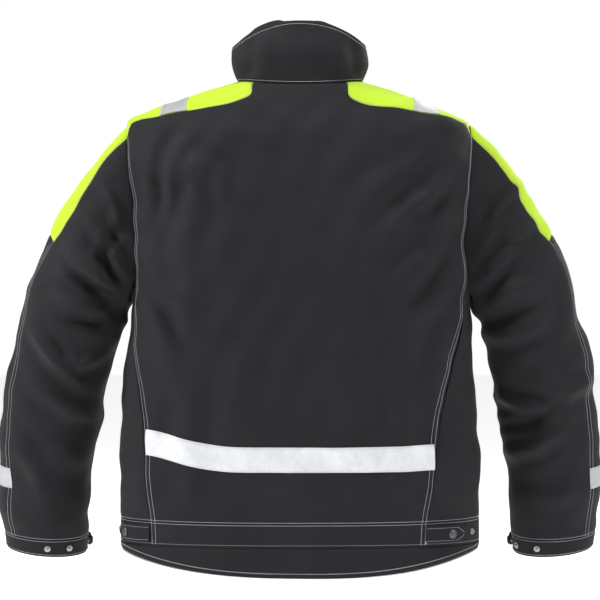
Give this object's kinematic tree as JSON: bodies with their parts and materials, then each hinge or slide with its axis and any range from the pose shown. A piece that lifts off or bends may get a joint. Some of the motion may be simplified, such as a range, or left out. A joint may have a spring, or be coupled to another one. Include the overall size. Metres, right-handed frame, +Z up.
{
  "type": "turnout coat",
  "caption": "Short padded black work coat with high-visibility yellow shoulder patches and sleeve stripes, reflective tapes, stand collar, front zip, waist tabs and a curved tail.",
  "frame": {"origin": "the nape: the middle of the back neck seam, where the hang loop is sewn", "axes": "+Z up along the wearer, -Y towards the coat's front, +X to the wearer's left"},
  "size_m": [0.9126, 0.2421, 0.8134],
  "materials": {
    "shell_cloth": "black twill",
    "bright_cloth": "high-visibility yellow twill",
    "reflective": "retroreflective grey tape",
    "lining_cloth": "quilted polyester with wadding",
    "knit_tape": "woven polyester tape",
    "zip_metal": "dark nickel",
    "zip_plastic": "moulded teeth",
    "snap_metal": "gunmetal"
  },
  "bodies": {
    "coat": {"back_panel": "shell_cloth", "side_panel_left": "shell_cloth", "side_panel_right": "shell_cloth", "front_panel_left": "shell_cloth", "front_panel_right": "shell_cloth", "shoulder_patch_left": "bright_cloth", "shoulder_patch_right": "bright_cloth", "shoulder_tape_left": "reflective", "shoulder_tape_right": "reflective", "back_tape": "reflective", "front_tape_left": "reflective", "front_tape_right": "reflective", "waistband_back": "shell_cloth", "waistband_left": "shell_cloth", "waistband_right": "shell_cloth", "hem_tail": "shell_cloth", "hem_zip": "zip_metal", "collar_outer": "shell_cloth", "collar_lining": "lining_cloth", "lining_back": "lining_cloth", "lining_left": "lining_cloth", "lining_right": "lining_cloth", "wind_flap": "shell_cloth", "armhole_bindings": "shell_cloth", "hang_loop": "knit_tape", "zip_tapes": "knit_tape", "zip_teeth": "zip_plastic", "hand_pocket_left": "shell_cloth", "hand_pocket_right": "shell_cloth", "waist_studs": "snap_metal"},
    "sleeve_left": {"sleeve_back_left": "shell_cloth", "sleeve_front_left": "shell_cloth", "sleeve_stripe_left": "bright_cloth", "sleeve_strip_left": "shell_cloth", "sleeve_tape_left": "reflective", "cuff_left": "shell_cloth", "sleeve_lining_left": "lining_cloth", "cuff_studs_left": "snap_metal"},
    "waist_tab_left": {"waist_tab_left": "shell_cloth", "waist_cap_left": "snap_metal"},
    "cuff_tab_left": {"cuff_tab_left": "shell_cloth", "cuff_cap_left": "snap_metal"},
    "sleeve_right": {"sleeve_back_right": "shell_cloth", "sleeve_front_right": "shell_cloth", "sleeve_stripe_right": "bright_cloth", "sleeve_strip_right": "shell_cloth", "sleeve_tape_right": "reflective", "cuff_right": "shell_cloth", "sleeve_lining_right": "lining_cloth", "cuff_studs_right": "snap_metal"},
    "waist_tab_right": {"waist_tab_right": "shell_cloth", "waist_cap_right": "snap_metal"},
    "cuff_tab_right": {"cuff_tab_right": "shell_cloth", "cuff_cap_right": "snap_metal"},
    "slider": {"zip_slider": "zip_metal"},
    "puller": {"zip_puller": "zip_metal"}
  },
  "joints": [
    {"name": "sleeve_left_swing", "type": "hinge", "parent": "coat", "child": "sleeve_left", "pos_m": [0.2586, -0.108, -0.178], "axis": [-1, 0, 0], "range_deg": [-30, 90]},
    {"name": "sleeve_right_swing", "type": "hinge", "parent": "coat", "child": "sleeve_right", "pos_m": [-0.2586, -0.108, -0.178], "axis": [-1, 0, 0], "range_deg": [-30, 90]},
    {"name": "waist_tab_left_peel", "type": "hinge", "parent": "coat", "child": "waist_tab_left", "pos_m": [0.22012, -0.00505, -0.65631], "axis": [-0.0007, -0.006, 1], "range_deg": [0, 150]},
    {"name": "waist_tab_right_peel", "type": "hinge", "parent": "coat", "child": "waist_tab_right", "pos_m": [-0.18329, 0.01021, -0.65648], "axis": [-0.0006, 0.0072, -1], "range_deg": [0, 150]},
    {"name": "cuff_tab_left_peel", "type": "hinge", "parent": "sleeve_left", "child": "cuff_tab_left", "pos_m": [0.37003, -0.18979, -0.67274], "axis": [-0.0199, 0.0718, 0.9972], "range_deg": [0, 140]},
    {"name": "cuff_tab_right_peel", "type": "hinge", "parent": "sleeve_right", "child": "cuff_tab_right", "pos_m": [-0.37003, -0.18979, -0.67274], "axis": [-0.0199, -0.0718, -0.9972], "range_deg": [0, 140]},
    {"name": "zip_slide", "type": "slide", "parent": "coat", "child": "slider", "axis": [0, -0.0911, -0.9958], "range_m": [0, 0.64]},
    {"name": "puller_swing", "type": "hinge", "parent": "slider", "child": "puller", "pos_m": [0, -0.1486, -0.00716], "axis": [-1, 0, 0], "range_deg": [0, 160]}
  ]
}
